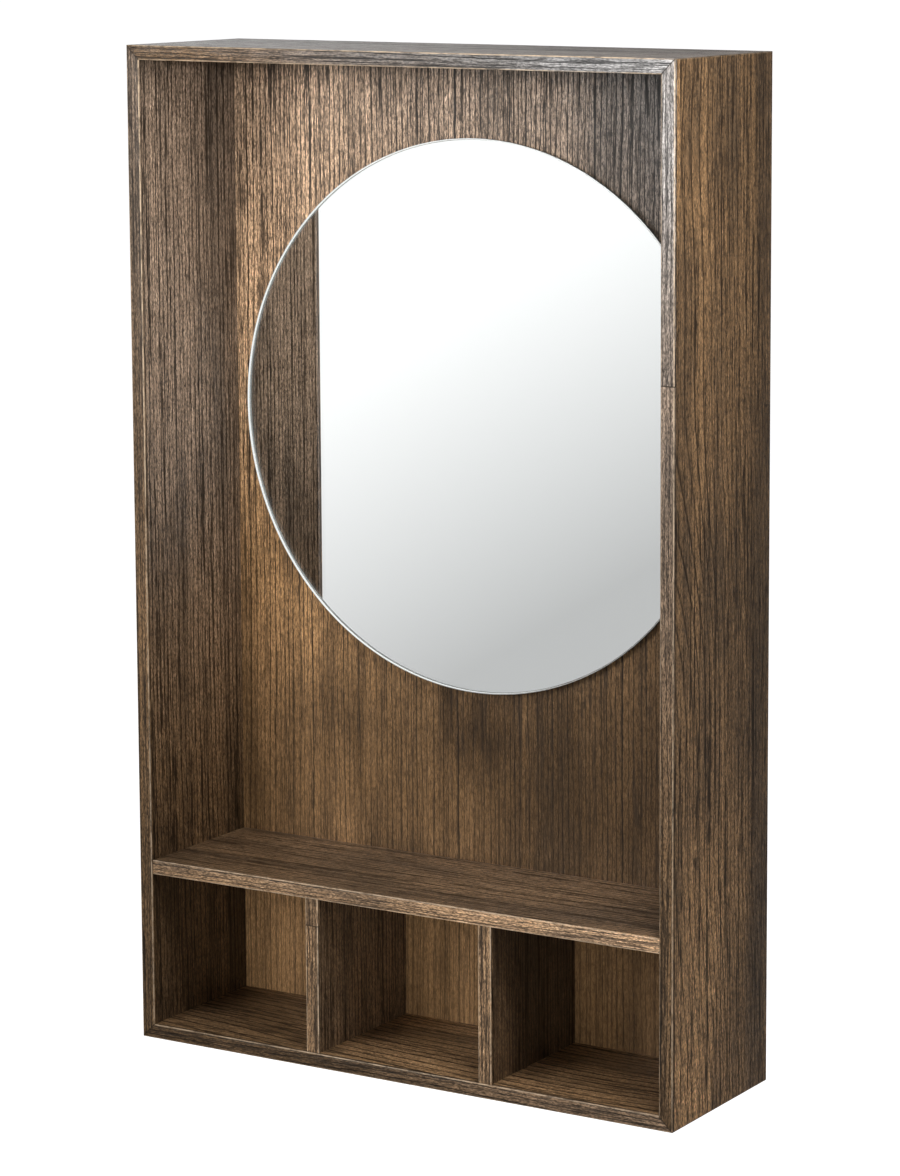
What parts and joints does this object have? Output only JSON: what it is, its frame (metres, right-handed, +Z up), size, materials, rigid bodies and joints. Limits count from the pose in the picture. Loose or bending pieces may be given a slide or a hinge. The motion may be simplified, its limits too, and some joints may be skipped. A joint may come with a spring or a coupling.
{
  "type": "hanging wall cabinet",
  "caption": "Open dark wood wall cabinet with mitred frame, round mirror on the back panel and a row of small open compartments under a shelf; hangs on keyhole plates.",
  "frame": {"origin": "on the wall plane, midway between the entry holes of the two keyhole hanger plates, 50 mm below the top", "axes": "+X to the viewer's right, +Y into the wall, +Z up; the open front faces -Y"},
  "size_m": [0.552, 0.17, 0.9],
  "materials": {
    "veneered_board": "dark brown stained open-grain veneer, satin",
    "solid_lipping": "dark brown stained solid wood edge, satin",
    "back_veneer": "dark brown stained open-grain veneer, satin",
    "plywood_spline": "raw thin plywood",
    "beech_dowel": "raw ribbed beech",
    "softwood_rail": "planed raw softwood",
    "zinc_plate": "bright zinc plating",
    "zinc_screw": "bright zinc plating",
    "clear_glass": "polished float glass",
    "silver_coat": "mirror silver",
    "backing_paint": "dark grey backing paint",
    "foam_tape": "black closed-cell foam",
    "mirror_adhesive": "cured neutral adhesive"
  },
  "bodies": {
    "root": {"side_panel_left": "veneered_board", "side_panel_right": "veneered_board", "top_panel": "veneered_board", "bottom_panel": "veneered_board", "shelf_board": "veneered_board", "divider_left": "veneered_board", "divider_right": "veneered_board", "lipping_left": "solid_lipping", "lipping_right_upper": "solid_lipping", "lipping_right_lower": "solid_lipping", "lipping_top": "solid_lipping", "lipping_bottom": "solid_lipping", "lipping_shelf": "solid_lipping", "lipping_divider_left_upper": "solid_lipping", "lipping_divider_left_lower": "solid_lipping", "lipping_divider_right": "solid_lipping", "back_panel": "back_veneer", "mitre_spline_top_left": "plywood_spline", "mitre_spline_top_right": "plywood_spline", "mitre_spline_bottom_left": "plywood_spline", "mitre_spline_bottom_right": "plywood_spline", "shelf_dowels": "beech_dowel", "divider_left_dowels": "beech_dowel", "divider_right_dowels": "beech_dowel", "hanging_rail_dowels": "beech_dowel", "spacer_rail_dowels": "beech_dowel", "hanging_rail": "softwood_rail", "spacer_rail": "softwood_rail", "hanger_plate_left": "zinc_plate", "hanger_plate_right": "zinc_plate", "hanger_plate_screws": "zinc_screw", "mirror_glass": "clear_glass", "mirror_silvering": "silver_coat", "mirror_backing": "backing_paint", "mirror_tape_strips": "foam_tape", "mirror_adhesive_dabs": "mirror_adhesive"}
  },
  "joints": []
}
